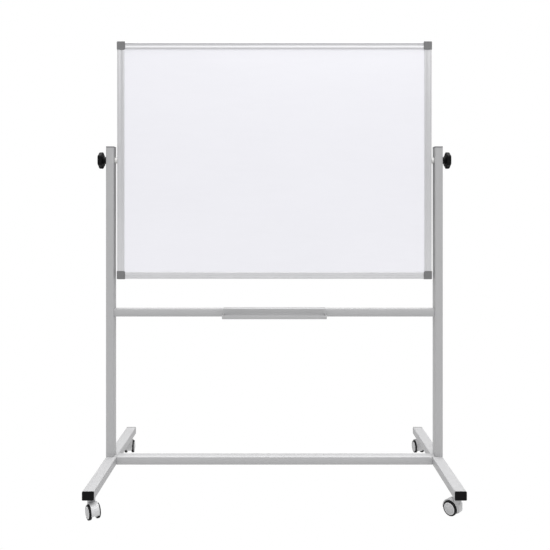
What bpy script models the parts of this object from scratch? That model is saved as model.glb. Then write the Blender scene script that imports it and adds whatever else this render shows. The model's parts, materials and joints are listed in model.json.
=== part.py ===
"""Rolling whiteboard: a double-sided board that turns over between two posts, on a stand with four casters.

Metres, +Z up. The origin is on the floor under the middle of the board. X runs along the board, -Y is its
front, and left is -X. The board turns on a stud at each side, and a knob on each stud clamps it.
"""

import math

import bmesh
import bpy
from mathutils import Matrix, Vector

# Fits
GAP = 0.0003  # between pieces that rest on or in each other
HOLE_PLAY = 0.0006  # on the diameter of a hole, over what passes through it
ROUND_STEPS = 16  # sides of round pieces and holes
CORNER_STEPS = 2  # sides of a rounded corner
FACE_STEPS = 4
HEEL_STEPS = 6
SMOOTH_ANGLE = 35  # degrees, above which an edge is shaded sharp
EMPTY_SIZE = 0.05

# Board
BOARD_WIDTH = 1.200
BOARD_HEIGHT = 0.905
PIVOT_HEIGHT = 1.2305
SHEET = 0.0005  # steel writing sheet
CORE = 0.0158
PANEL_PLAY = 0.0005  # between the sandwich's edge and the bottom of the frame's slot

# Frame profile, across its face from the outer edge
FRAME_FACE = 0.0265
FRAME_WALL = 0.0015
FRAME_LIP = 0.0018  # the lip in front of the writing sheet
CHAMBER = 0.0115
RIDGE_RISE = 0.0014
# Where the face has its outer ridge, its trough and its inner ridge, and how high they are over its edges
FACE_KNOTS = ((0.0045, RIDGE_RISE), (0.0138, -0.0003), (0.0225, 0.0010))
FRAME_EDGE_RADIUS = 0.001
LIP_RADIUS = 0.0006

# Corner caps
CAP_PROUD = 0.0012  # past the frame's outer edge
CAP_DEPTH_PROUD = 0.0007  # past the ridge, on each face
CAP_OVERLAP = 0.0033  # past the frame's inner edge
CAP_OUTER_RADIUS = 0.003
CAP_INNER_RADIUS = 0.006
CAP_EDGE_RADIUS = 0.001
TONGUE_LENGTH = 0.025

# Steel tubes
TUBE_WALL = 0.0015
TUBE_RADIUS = 0.003
POST_WIDTH = 0.030
POST_DEPTH = 0.040
POST_TO_BOARD = 0.011
POST_OVER_PIVOT = 0.0465
FOOT_WIDTH = 0.040
FOOT_HEIGHT = 0.030
FOOT_LENGTH = 0.640  # over its end caps
UPPER_BAR = 0.030  # square
UPPER_BAR_HEIGHT = 0.6495  # its middle
LOWER_BAR_DEPTH = 0.040
END_PLATE = 0.004  # threaded plate welded inside a tube's end
PLATE_SETBACK = 0.0005

# Plastic tube ends
POST_CAP_FLANGE = 0.006
FOOT_CAP_FLANGE = 0.003
PLUG_LENGTH = 0.015
PLUG_WALL = 0.002
FOOT_CAP_BORDER = 0.007  # round the sunk rectangle in a foot's end cap
FOOT_CAP_RECESS = 0.001

# Bolts and screws
BOLT = 0.008
BOLT_HEAD = 0.013
BOLT_HEAD_HEIGHT = 0.005
BOLT_PAST_PLATE = 0.006
HEAD_RIM = 0.25  # share of a head's height that its rim's chamfer takes
BOLT_OFFSET = 0.009  # keeps the bolt of the post and the bolt of the lower bar apart
ACCESS_PLAY = 0.003
SCREW = 0.004
SCREW_HEAD = 0.008
SCREW_HEAD_HEIGHT = 0.0025
SCREW_LENGTH = 0.009
SCREW_SPACING = 0.260
SCREW_DROP = 0.008  # below the top of the upper bar

# Pen tray, a folded sheet that hooks over the upper bar
TRAY_WIDTH = 0.390
TRAY_SHEET = 0.0015
TRAY_REACH = 0.060  # from the bar's front to the tray's front
TRAY_LIP = 0.0137
TRAY_REAR_LIP = 0.014
TRAY_WALL_SUNK = 0.0005  # how far an end wall goes into the sheets that it joins

# Pivot
STUD = 0.010
PIN_CHAMFER = 0.0006
STUD_IN_BLOCK = 0.0105
BLOCK_HEIGHT = 0.060
COLLAR = 0.0225
SLEEVE = 0.014

# Clamp knob
KNOB = 0.064
KNOB_LOBES = 6
LOBE_DEPTH = 0.004
KNOB_HUB = 0.027
KNOB_HUB_LENGTH = 0.0125
KNOB_GRIP = 0.017
KNOB_DOME = 0.003
KNOB_TAPER = 0.001  # how much narrower the grip is at its outer end, on its radius
KNOB_CLEARANCE = 0.0015
KNOB_BORE_DEPTH = 0.022
KNOB_STEPS = 36

# Caster
HEADROOM = 0.0215  # top of the wheels to the underside of the foot
CASTER_SETBACK = 0.040  # swivel axis to the foot's end
TRAIL = 0.020  # swivel axis to axle
WHEEL = 0.050
WHEEL_TRACK = 0.029  # between the middles of the two treads
TREAD = 0.010
TYRE_WALL = 0.004
TYRE_SHOULDER = 0.0016
HUB_DOME = 0.0036
HUB_RINGS = (1, 0.7, 0.4, 0)  # shares of the hub's radius where its dome has a ring of points
WHEEL_STEPS = 24
AXLE = 0.006
AXLE_PLAY = 0.0008
AXLE_PAST_TREAD = 0.002
WEB_TO_WHEEL = 0.001
WEB_INSET = 0.001  # of the web's round end, from the tread
WEB_UNDER_END = 0.0025  # how far below the axle's middle the web's round end starts
WEB_UNDER_AXLE = 0.009
WEB_UNDER_HEEL = 0.013
HOOD_PLAY = 0.002
HOOD_WALL = 0.0032
HOOD_WIDTH = 0.027
HOOD_UNDER_AXLE = 0.005  # how far below the axle's middle the hood ends
HOOD_STEPS = 16
WEB_STEPS = 8
BOSS = 0.027
BOSS_OVER_AXLE = 0.0035
STEM = 0.010
STEM_SOCKET = 0.024
STEM_PLAY = 0.0009  # on the diameter of the socket, in which the caster swivels
STEM_IN_FOOT = 0.0185
STEM_COLLAR = 0.022
STEM_COLLAR_HEIGHT = 0.0019

# Direction from each swivel axis to its axle, in degrees from +X, as the casters were left standing
CASTER_TURN = {"front_left": -57, "front_right": 131, "rear_left": 95, "rear_right": 97}

# Sizes that follow
AXLE_HEIGHT = WHEEL / 2
CASTER_HEIGHT = WHEEL + HEADROOM  # floor to the underside of the foot
TUBE_INNER_RADIUS = max(TUBE_RADIUS - TUBE_WALL, TUBE_WALL / 3)
SANDWICH_HALF = CORE / 2 + GAP + SHEET
SLOT_HALF = SANDWICH_HALF + GAP
FRAME_HALF = SLOT_HALF + FRAME_LIP
SLOT_START = 2 * FRAME_WALL + CHAMBER
PANEL_SETBACK = SLOT_START + PANEL_PLAY
CAP_INNER = FRAME_FACE + CAP_OVERLAP
CAP_HALF = FRAME_HALF + RIDGE_RISE + CAP_DEPTH_PROUD
POST_INNER = BOARD_WIDTH / 2 + POST_TO_BOARD
POST_OUTER = POST_INNER + POST_WIDTH
POST_X = (POST_INNER + POST_OUTER) / 2
FOOT_X = POST_OUTER - FOOT_WIDTH / 2
FOOT_INNER = POST_OUTER - FOOT_WIDTH
FOOT_Z = CASTER_HEIGHT + FOOT_HEIGHT / 2
POST_BASE = CASTER_HEIGHT + FOOT_HEIGHT + GAP
POST_TOP = PIVOT_HEIGHT + POST_OVER_PIVOT
CASTER_Y = FOOT_LENGTH / 2 - CASTER_SETBACK
PLATE_FAR = PLATE_SETBACK + END_PLATE
WEB_RADIUS = WHEEL / 2 - WEB_INSET
HOOD_RADIUS = WHEEL / 2 + HOOD_PLAY + HOOD_WALL
WEB_HALF = (WHEEL_TRACK - TREAD) / 2 - WEB_TO_WHEEL
HOUSING_TOP = CASTER_HEIGHT - 2 * GAP - STEM_COLLAR_HEIGHT

# Colour, roughness and metallic value of each finish
FINISHES = {
    "enamelled_sheet": ((0.86, 0.86, 0.90), 0.25, 0.0),
    "honeycomb_core": ((0.55, 0.45, 0.32), 0.9, 0.0),
    "anodised_aluminium": ((0.62, 0.62, 0.64), 0.35, 1.0),
    "corner_plastic": ((0.16, 0.16, 0.165), 0.5, 0.0),
    "silver_paint": ((0.50, 0.50, 0.51), 0.35, 0.4),
    "grey_plastic": ((0.24, 0.24, 0.245), 0.5, 0.0),
    "black_plastic": ((0.015, 0.015, 0.016), 0.4, 0.0),
    "natural_nylon": ((0.58, 0.58, 0.58), 0.45, 0.0),
    "zinc_steel": ((0.60, 0.60, 0.58), 0.35, 1.0),
    "caster_plastic": ((0.52, 0.52, 0.53), 0.4, 0.0),
    "wheel_rubber": ((0.02, 0.02, 0.02), 0.6, 0.0),
}

SIDES = (("right", 1), ("left", -1))
ALONG_X = Matrix(((0, 0, 1, 0), (1, 0, 0, 0), (0, 1, 0, 0), (0, 0, 0, 1)))  # x, y, z become y, z, x
ALONG_Y = Matrix(((0, 1, 0, 0), (0, 0, 1, 0), (1, 0, 0, 0), (0, 0, 0, 1)))  # x, y, z become z, x, y
ALONG_Z = Matrix.Identity(4)


# Outlines


def arc(centre, radius, start, end, steps):
    """Points of an arc in degrees, both ends included."""
    angles = [math.radians(start + (end - start) * i / steps) for i in range(steps + 1)]
    return [(centre[0] + radius * math.cos(a), centre[1] + radius * math.sin(a)) for a in angles]


def rounded(corners, steps=CORNER_STEPS):
    """A closed outline through (x, y, radius) corners."""
    points = []
    for i, (x, y, radius) in enumerate(corners):
        here = Vector((x, y))
        if not radius:
            points.append((x, y))
            continue
        back = (Vector(corners[i - 1][:2]) - here).normalized()
        ahead = (Vector(corners[(i + 1) % len(corners)][:2]) - here).normalized()
        half = back.angle(ahead) / 2
        centre = here + (back + ahead).normalized() * radius / math.sin(half)
        first = here + back * radius / math.tan(half) - centre
        last = here + ahead * radius / math.tan(half) - centre
        turn = math.atan2(first.cross(last), first.dot(last))
        points += [tuple(centre + Matrix.Rotation(turn * k / steps, 2) @ first) for k in range(steps + 1)]
    return points


def rectangle(width, height, radius=0.0):
    """A centred rectangle's outline."""
    w, h = width / 2, height / 2
    return rounded([(w, h, radius), (-w, h, radius), (-w, -h, radius), (w, -h, radius)])


def tube_outlines(width, height):
    hollow = rectangle(width - 2 * TUBE_WALL, height - 2 * TUBE_WALL, TUBE_INNER_RADIUS)
    return [rectangle(width, height, TUBE_RADIUS), hollow]


def bent_sheet(path, thickness):
    """The outline of a sheet folded along a path, on the right of the path."""
    corners = [Vector(p) for p in path]
    sides = [-(b - a).normalized().orthogonal() for a, b in zip(corners, corners[1:])]
    other = [corners[0] + sides[0] * thickness]
    for corner, before, after in zip(corners[1:-1], sides, sides[1:]):
        middle = (before + after).normalized()
        other.append(corner + middle * thickness / middle.dot(before))
    other.append(corners[-1] + sides[-1] * thickness)
    return [tuple(p) for p in corners + other[::-1]]


# Shapes, each a new bmesh


def prism(outlines, length, axes=ALONG_Z, at=(0, 0, 0)):
    """Flat outlines, the first outside and the rest its holes, drawn out along an axis and centred on at."""
    bm = bmesh.new()
    for outline in outlines:
        verts = [bm.verts.new((x, y, -length / 2)) for x, y in outline]
        for a, b in zip(verts, verts[1:] + verts[:1]):
            bm.edges.new((a, b))
    bmesh.ops.triangle_fill(bm, use_beauty=True, edges=bm.edges[:])
    grown = bmesh.ops.extrude_face_region(bm, geom=bm.faces[:])
    far = [item for item in grown["geom"] if isinstance(item, bmesh.types.BMVert)]
    bmesh.ops.translate(bm, verts=far, vec=(0, 0, length))
    bmesh.ops.recalc_face_normals(bm, faces=bm.faces[:])
    bmesh.ops.transform(bm, matrix=Matrix.Translation(at) @ axes, verts=bm.verts[:])
    return bm


def block(size, at=(0, 0, 0)):
    bm = bmesh.new()
    bmesh.ops.create_cube(bm, size=1, matrix=Matrix.Translation(at) @ Matrix.Diagonal((*size, 1)))
    return bm


def cylinder(diameter, length, axes=ALONG_Z, at=(0, 0, 0), steps=ROUND_STEPS):
    bm = bmesh.new()
    radius = diameter / 2
    matrix = Matrix.Translation(at) @ axes
    bmesh.ops.create_cone(
        bm, cap_ends=True, segments=steps, radius1=radius, radius2=radius, depth=length, matrix=matrix
    )
    return bm


def turned(profile, axes=ALONG_Z, at=(0, 0, 0), steps=ROUND_STEPS, ring=False):
    """A profile of (radius, height) points turned about the axis. A ring's profile closes on itself."""
    bm = bmesh.new()
    verts = [bm.verts.new((radius, 0, height)) for radius, height in profile]
    for a, b in zip(verts, verts[1:] + (verts[:1] if ring else [])):
        bm.edges.new((a, b))
    line = bm.verts[:] + bm.edges[:]
    bmesh.ops.spin(bm, geom=line, axis=(0, 0, 1), cent=(0, 0, 0), angle=math.tau, steps=steps, use_merge=True)
    bmesh.ops.remove_doubles(bm, verts=bm.verts[:], dist=1e-6)
    bmesh.ops.recalc_face_normals(bm, faces=bm.faces[:])
    bmesh.ops.transform(bm, matrix=Matrix.Translation(at) @ axes, verts=bm.verts[:])
    return bm


def pin(diameter, length, **place):
    """A turned pin from 0 to its length, with chamfered ends."""
    radius, chamfer = diameter / 2, PIN_CHAMFER
    ends = [(0, 0), (radius - chamfer, 0), (radius, chamfer)]
    ends += [(radius, length - chamfer), (radius - chamfer, length), (0, length)]
    return turned(ends, **place)


def headed(diameter, length, head, head_height, **place):
    """A bolt whose head is below 0 and whose shank goes up from it."""
    radius, rim = head / 2, head_height * HEAD_RIM
    profile = [(0, -head_height), (radius - rim, -head_height), (radius, rim - head_height), (radius, 0)]
    profile += [(diameter / 2, 0), (diameter / 2, length), (0, length)]
    return turned(profile, **place)


def lobed(profile, lobes, depth, inside, steps):
    """A turned shape whose rim dips by depth between its lobes, from the inside radius outwards."""
    bm = turned(profile, steps=steps)
    for vert in bm.verts:
        radius = vert.co.xy.length
        if radius > inside:
            dip = depth * (1 - math.cos(lobes * math.atan2(vert.co.x, vert.co.y))) / 2
            vert.co.xy = vert.co.xy * (1 - dip / radius)
    return bm


# Scene


def clear_scene():
    for obj in list(bpy.data.objects):
        bpy.data.objects.remove(obj)


def mesh_of(bm):
    mesh = bpy.data.meshes.new("shape")
    bm.to_mesh(mesh)
    bm.free()
    return mesh


def link(obj):
    bpy.context.scene.collection.objects.link(obj)
    return obj


def carved(base, joins=(), cuts=()):
    """The mesh of a shape with others joined to it, and then others cut from it."""
    body = link(bpy.data.objects.new("body", mesh_of(base)))
    tools = []
    for operation, shapes in (("UNION", joins), ("DIFFERENCE", cuts)):
        for shape in shapes:
            tool = link(bpy.data.objects.new("tool", mesh_of(shape)))
            modifier = body.modifiers.new(operation, "BOOLEAN")
            modifier.operation = operation
            modifier.object = tool
            tools.append(tool)
    graph = bpy.context.evaluated_depsgraph_get()
    mesh = bpy.data.meshes.new_from_object(body.evaluated_get(graph))
    for helper in (body, *tools):
        bpy.data.objects.remove(helper)
    return mesh


def finish(name):
    material = bpy.data.materials.get(name)
    if material:
        return material
    colour, roughness, metallic = FINISHES[name]
    material = bpy.data.materials.new(name)
    material.use_nodes = True
    shader = material.node_tree.nodes["Principled BSDF"]
    shader.inputs["Base Color"].default_value = (*colour, 1)
    shader.inputs["Roughness"].default_value = roughness
    shader.inputs["Metallic"].default_value = metallic
    return material


def piece(name, shape, look, parent, at=(0, 0, 0), turn=(0, 0, 0)):
    """One named object, from a bmesh or a mesh."""
    mesh = shape if isinstance(shape, bpy.types.Mesh) else mesh_of(shape)
    mesh.name = name
    mesh.materials.clear()
    mesh.materials.append(finish(look))
    mesh.shade_smooth()
    mesh.set_sharp_from_angle(angle=math.radians(SMOOTH_ANGLE))
    obj = link(bpy.data.objects.new(name, mesh))
    obj.parent = parent
    obj.location = at
    obj.rotation_euler = turn
    return obj


def group(name, parent=None, at=(0, 0, 0), turn=(0, 0, 0)):
    """An empty that carries the pieces of one body."""
    empty = link(bpy.data.objects.new(name, None))
    empty.empty_display_size = EMPTY_SIZE
    empty.parent = parent
    empty.location = at
    empty.rotation_euler = turn
    return empty


# Board, in a frame whose origin is the middle of the board, on the pivot axis


def frame_face():
    """The face between its two edges, which swells and dips from knot to knot."""
    points = []
    knots = [(0, 0), *FACE_KNOTS, (FRAME_FACE, 0)]
    for (near, low), (far, high) in zip(knots, knots[1:]):
        for step in range(FACE_STEPS):
            share = step / FACE_STEPS
            ease = (1 - math.cos(math.pi * share)) / 2
            points.append((-near - (far - near) * share, FRAME_HALF + low + (high - low) * ease))
    return points[1:]


def frame_outline():
    """Half of the profile, from the outer edge at x = 0 to the slot, then the same mirrored."""
    corners = [(0, FRAME_HALF, FRAME_EDGE_RADIUS)]
    corners += [(x, y, 0) for x, y in frame_face()]
    corners += [(-FRAME_FACE, FRAME_HALF, LIP_RADIUS), (-FRAME_FACE, SLOT_HALF, 0)]
    corners.append((-SLOT_START, SLOT_HALF, 0))
    return rounded(corners + [(x, -y, radius) for x, y, radius in corners[::-1]])


def frame_rail(length, cuts=()):
    """A length of the frame along Z, with its outer edge on the plane x = 0."""
    chamber = [(x - FRAME_WALL - CHAMBER / 2, y) for x, y in rectangle(CHAMBER, 2 * SLOT_HALF)]
    rail = prism([frame_outline(), chamber], length)
    return carved(rail, cuts=cuts) if cuts else mesh_of(rail)


def build_frame(board):
    half_width, half_height = BOARD_WIDTH / 2, BOARD_HEIGHT / 2
    stile_length = BOARD_HEIGHT - 2 * (CAP_INNER + GAP)
    rail_length = BOARD_WIDTH - 2 * (CAP_INNER + GAP)
    for name, side in SIDES:
        stud_hole = cylinder(STUD + HOLE_PLAY, 3 * FRAME_WALL, ALONG_X)
        mesh = frame_rail(stile_length, cuts=[stud_hole])
        turn = (0, 0, 0 if side > 0 else math.pi)
        piece(f"{name}_frame_stile", mesh, "anodised_aluminium", board, (side * half_width, 0, 0), turn)
    for name, up in (("top", 1), ("bottom", -1)):
        turn = (0, -up * math.pi / 2, 0)
        place = (0, 0, up * half_height)
        piece(f"{name}_frame_rail", frame_rail(rail_length), "anodised_aluminium", board, place, turn)


def corner_cap():
    """The top right corner's cap, with its origin at the frame's outer corner and a tongue into each rail."""
    low, high = -CAP_INNER, CAP_PROUD
    outline = rounded(
        [(high, high, CAP_OUTER_RADIUS), (low, high, CAP_EDGE_RADIUS)]
        + [(low, low, CAP_INNER_RADIUS), (high, low, CAP_EDGE_RADIUS)]
    )
    # The outline is drawn as (z, x), which is the plane that ALONG_Y turns it into.
    cap = prism([outline], 2 * CAP_HALF, ALONG_Y)
    reach = CAP_INNER + TONGUE_LENGTH
    start = CAP_OUTER_RADIUS
    width = CHAMBER - 2 * GAP
    across = -FRAME_WALL - CHAMBER / 2
    along = -(start + reach) / 2
    depth = 2 * (SLOT_HALF - GAP)
    tongues = [
        block((reach - start, depth, width), (along, 0, across)),
        block((width, depth, reach - start), (across, 0, along)),
    ]
    slot_size = CAP_INNER
    slot_at = -SLOT_START - slot_size / 2
    slot = block((slot_size, 2 * SLOT_HALF, slot_size), (slot_at, 0, slot_at))
    return carved(cap, tongues, [slot])


def build_corner_caps(board):
    quarter = math.pi / 2
    for name, right, up, quarters in (
        ("top_right", 1, 1, 0),
        ("top_left", -1, 1, -1),
        ("bottom_left", -1, -1, 2),
        ("bottom_right", 1, -1, 1),
    ):
        place = (right * BOARD_WIDTH / 2, 0, up * BOARD_HEIGHT / 2)
        piece(f"{name}_corner_cap", corner_cap(), "corner_plastic", board, place, (0, quarters * quarter, 0))


def build_panels(board):
    width = BOARD_WIDTH - 2 * PANEL_SETBACK
    height = BOARD_HEIGHT - 2 * PANEL_SETBACK
    piece("board_core", block((width, CORE, height)), "honeycomb_core", board)
    for name, y in (("front", -1), ("rear", 1)):
        place = (0, y * (SANDWICH_HALF - SHEET / 2), 0)
        piece(f"{name}_writing_panel", block((width, SHEET, height)), "enamelled_sheet", board, place)


def build_pivots(board):
    """The blocks that hold the studs, and the studs that pass through the posts into the knobs."""
    block_x = BOARD_WIDTH / 2 - FRAME_WALL - CHAMBER / 2
    stud_start = BOARD_WIDTH / 2 - FRAME_WALL - GAP - STUD_IN_BLOCK
    stud_end = POST_OUTER + KNOB_CLEARANCE + KNOB_BORE_DEPTH - 2 * GAP
    for name, side in SIDES:
        size = (CHAMBER - 2 * GAP, 2 * (SLOT_HALF - GAP), BLOCK_HEIGHT)
        mesh = carved(block(size), cuts=[cylinder(STUD + HOLE_PLAY, 2 * CHAMBER, ALONG_X)])
        piece(f"{name}_pivot_block", mesh, "zinc_steel", board, (side * block_x, 0, 0))
        stud = pin(STUD, stud_end - stud_start, axes=ALONG_X)
        turn = (0, 0, 0 if side > 0 else math.pi)
        piece(f"{name}_pivot_stud", stud, "zinc_steel", board, (side * stud_start, 0, 0), turn)


# Stand. Each side is built in a frame whose x points outwards, so the left one is the right one turned round


def end_cap(width, height, flange, recessed):
    """A plug for a tube's end. The flange's inner face is at 0 and the plug goes down from it."""
    plug_width = width - 2 * (TUBE_WALL + GAP)
    plug_height = height - 2 * (TUBE_WALL + GAP)
    overlap = flange / 2
    cap = prism([rectangle(width, height, TUBE_RADIUS)], flange, at=(0, 0, flange / 2))
    plug_outline = rectangle(plug_width, plug_height, TUBE_INNER_RADIUS)
    plug = prism([plug_outline], PLUG_LENGTH + overlap, at=(0, 0, (overlap - PLUG_LENGTH) / 2))
    hollow_size = (plug_width - 2 * PLUG_WALL, plug_height - 2 * PLUG_WALL, 2 * PLUG_LENGTH)
    cuts = [block(hollow_size, (0, 0, -PLUG_LENGTH))]
    if recessed:
        border = 2 * FOOT_CAP_BORDER
        cuts.append(block((width - border, height - border, 2 * FOOT_CAP_RECESS), (0, 0, flange)))
    return carved(cap, [plug], cuts)


def post():
    """A post with its origin at the middle of its lower end."""
    height = POST_TOP - POST_BASE
    inner, outer = -POST_WIDTH / 2, POST_WIDTH / 2
    tube = prism(tube_outlines(POST_WIDTH, POST_DEPTH), height, at=(0, 0, height / 2))
    plate_size = (POST_WIDTH - TUBE_WALL, POST_DEPTH - TUBE_WALL, END_PLATE)
    plate = block(plate_size, (0, 0, PLATE_SETBACK + END_PLATE / 2))
    bar_z = UPPER_BAR_HEIGHT - POST_BASE
    cuts = [
        cylinder(SLEEVE + HOLE_PLAY, 2 * POST_WIDTH, ALONG_X, (0, 0, PIVOT_HEIGHT - POST_BASE)),
        cylinder(BOLT + HOLE_PLAY, 4 * END_PLATE, ALONG_Z, (0, BOLT_OFFSET, PLATE_FAR)),
        cylinder(BOLT + HOLE_PLAY, 4 * TUBE_WALL, ALONG_X, (inner, 0, bar_z)),
        cylinder(BOLT_HEAD + ACCESS_PLAY, 4 * TUBE_WALL, ALONG_X, (outer, 0, bar_z)),
    ]
    return carved(tube, [plate], cuts)


def foot():
    """A foot with its origin at its middle."""
    length = FOOT_LENGTH - 2 * (FOOT_CAP_FLANGE + GAP)
    tube = prism(tube_outlines(FOOT_HEIGHT, FOOT_WIDTH), length, ALONG_Y)
    inner, outer, bottom = -FOOT_WIDTH / 2, FOOT_WIDTH / 2, -FOOT_HEIGHT / 2
    cuts = [
        cylinder(BOLT + HOLE_PLAY, 2 * FOOT_HEIGHT, ALONG_Z, (POST_X - FOOT_X, BOLT_OFFSET, 0)),
        cylinder(BOLT + HOLE_PLAY, 4 * TUBE_WALL, ALONG_X, (inner, -BOLT_OFFSET, 0)),
        cylinder(BOLT_HEAD + ACCESS_PLAY, 4 * TUBE_WALL, ALONG_X, (outer, -BOLT_OFFSET, 0)),
    ]
    for y in (-CASTER_Y, CASTER_Y):
        cuts.append(cylinder(STEM + HOLE_PLAY, 4 * TUBE_WALL, ALONG_Z, (0, y, bottom)))
    return carved(tube, cuts=cuts)


def pivot_bush():
    """A collar between board and post and a sleeve through the post, with the collar's inner end at 0."""
    bore, collar, sleeve = (STUD + HOLE_PLAY) / 2, COLLAR / 2, SLEEVE / 2
    collar_end = POST_TO_BOARD - 2 * GAP
    sleeve_end = POST_TO_BOARD + POST_WIDTH - 2 * GAP
    profile = [(bore, 0), (collar, 0), (collar, collar_end), (sleeve, collar_end)]
    profile += [(sleeve, sleeve_end), (bore, sleeve_end)]
    return turned(profile, ALONG_X, ring=True)


def build_side(name, turn, stand):
    side = group(f"{name}_side", stand, turn=(0, 0, turn))
    piece(f"{name}_post", post(), "silver_paint", side, (POST_X, 0, POST_BASE))
    cap = end_cap(POST_WIDTH, POST_DEPTH, POST_CAP_FLANGE, recessed=False)
    piece(f"{name}_post_top_cap", cap, "grey_plastic", side, (POST_X, 0, POST_TOP + GAP))
    bush_x = BOARD_WIDTH / 2 + GAP
    piece(f"{name}_pivot_bush", pivot_bush(), "natural_nylon", side, (bush_x, 0, PIVOT_HEIGHT))
    piece(f"{name}_foot", foot(), "silver_paint", side, (FOOT_X, 0, FOOT_Z))

    post_bolt_length = FOOT_HEIGHT + 2 * GAP + PLATE_FAR + BOLT_PAST_PLATE
    post_bolt = headed(BOLT, post_bolt_length, BOLT_HEAD, BOLT_HEAD_HEIGHT)
    piece(f"{name}_post_bolt", post_bolt, "zinc_steel", side, (POST_X, BOLT_OFFSET, CASTER_HEIGHT - GAP))
    bar_bolt_length = TUBE_WALL + 2 * GAP + PLATE_FAR + BOLT_PAST_PLATE
    inward = (0, math.pi, 0)
    for bar, inner, y, z in (
        ("upper", POST_INNER, 0, UPPER_BAR_HEIGHT),
        ("lower", FOOT_INNER, -BOLT_OFFSET, FOOT_Z),
    ):
        bolt = headed(BOLT, bar_bolt_length, BOLT_HEAD, BOLT_HEAD_HEIGHT, axes=ALONG_X)
        place = (inner + TUBE_WALL + GAP, y, z)
        piece(f"{bar}_crossbar_{name}_bolt", bolt, "zinc_steel", side, place, inward)


def build_foot_end(name, x, y, stand):
    """The end cap and the caster stem at one end of a foot. y is 1 at the rear and -1 at the front."""
    cap = end_cap(FOOT_WIDTH, FOOT_HEIGHT, FOOT_CAP_FLANGE, recessed=True)
    cap_y = y * (FOOT_LENGTH / 2 - FOOT_CAP_FLANGE)
    piece(f"{name}_foot_cap", cap, "black_plastic", stand, (x, cap_y, FOOT_Z), (-y * math.pi / 2, 0, 0))

    shank, collar = STEM / 2, STEM_COLLAR / 2
    low = HOUSING_TOP - STEM_SOCKET
    under, over = HOUSING_TOP + GAP, CASTER_HEIGHT - GAP
    top = CASTER_HEIGHT + STEM_IN_FOOT
    profile = [(0, low), (shank, low), (shank, under), (collar, under), (collar, over), (shank, over)]
    stem = turned(profile + [(shank, top), (0, top)])
    piece(f"{name}_caster_stem", stem, "zinc_steel", stand, (x, y * CASTER_Y, 0))


def crossbar(outlines, length, depth, height, bolt_offset, cuts=()):
    """A bar along X with a threaded plate in each end, and the bolt holes half-turn symmetric."""
    bar = prism(outlines, length, ALONG_X)
    plates, holes = [], list(cuts)
    for _, side in SIDES:
        plate_x = side * (length / 2 - PLATE_SETBACK - END_PLATE / 2)
        plates.append(block((END_PLATE, depth - TUBE_WALL, height - TUBE_WALL), (plate_x, 0, 0)))
        hole_at = (plate_x, -side * bolt_offset, 0)
        holes.append(cylinder(BOLT + HOLE_PLAY, 4 * END_PLATE, ALONG_X, hole_at))
    return carved(bar, plates, holes)


def build_crossbars(stand):
    screw_z = UPPER_BAR / 2 - SCREW_DROP
    screw_holes = []
    for _, side in SIDES:
        hole_at = (side * SCREW_SPACING / 2, UPPER_BAR / 2, screw_z)
        screw_holes.append(cylinder(SCREW + HOLE_PLAY, 4 * TUBE_WALL, ALONG_Y, hole_at))
    outlines = tube_outlines(UPPER_BAR, UPPER_BAR)
    upper = crossbar(outlines, 2 * (POST_INNER - GAP), UPPER_BAR, UPPER_BAR, 0, screw_holes)
    piece("upper_crossbar", upper, "silver_paint", stand, (0, 0, UPPER_BAR_HEIGHT))
    outlines = tube_outlines(LOWER_BAR_DEPTH, FOOT_HEIGHT)
    lower = crossbar(outlines, 2 * (FOOT_INNER - GAP), LOWER_BAR_DEPTH, FOOT_HEIGHT, BOLT_OFFSET)
    piece("lower_crossbar", lower, "silver_paint", stand, (0, 0, FOOT_Z))


def pen_tray():
    """The tray, with its origin at the middle of the upper bar."""
    top = UPPER_BAR / 2 + GAP
    bottom = -UPPER_BAR / 2
    front = bottom - TRAY_REACH
    lip_top = bottom + TRAY_LIP
    # From the lip behind the bar, over its top, down its front, and along the floor to the front lip
    path = [(top, top - TRAY_REAR_LIP), (top, top), (-top, top), (-top, bottom)]
    path += [(front, bottom), (front, lip_top)]
    sheet = prism([bent_sheet(path, TRAY_SHEET)], TRAY_WIDTH, ALONG_X)
    low_y, high_y = front + TRAY_WALL_SUNK, -top - TRAY_SHEET + TRAY_WALL_SUNK
    low_z, high_z = bottom + TRAY_WALL_SUNK, lip_top - TRAY_WALL_SUNK
    wall_size = (TRAY_SHEET, high_y - low_y, high_z - low_z)
    walls, holes = [], []
    for _, side in SIDES:
        wall_x = side * (TRAY_WIDTH / 2 - TRAY_SHEET / 2 - TRAY_WALL_SUNK)
        walls.append(block(wall_size, (wall_x, (low_y + high_y) / 2, (low_z + high_z) / 2)))
        hole_at = (side * SCREW_SPACING / 2, top, UPPER_BAR / 2 - SCREW_DROP)
        holes.append(cylinder(SCREW + HOLE_PLAY, 4 * TRAY_SHEET, ALONG_Y, hole_at))
    return carved(sheet, walls, holes)


def build_tray(stand):
    piece("pen_tray", pen_tray(), "silver_paint", stand, (0, 0, UPPER_BAR_HEIGHT))
    screw_y = UPPER_BAR / 2 + 2 * GAP + TRAY_SHEET
    screw_z = UPPER_BAR_HEIGHT + UPPER_BAR / 2 - SCREW_DROP
    for name, side in SIDES:
        screw = headed(SCREW, SCREW_LENGTH, SCREW_HEAD, SCREW_HEAD_HEIGHT, axes=ALONG_Y)
        place = (side * SCREW_SPACING / 2, screw_y, screw_z)
        piece(f"tray_screw_{name}", screw, "zinc_steel", stand, place, (0, 0, math.pi))


# Turning pieces


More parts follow.
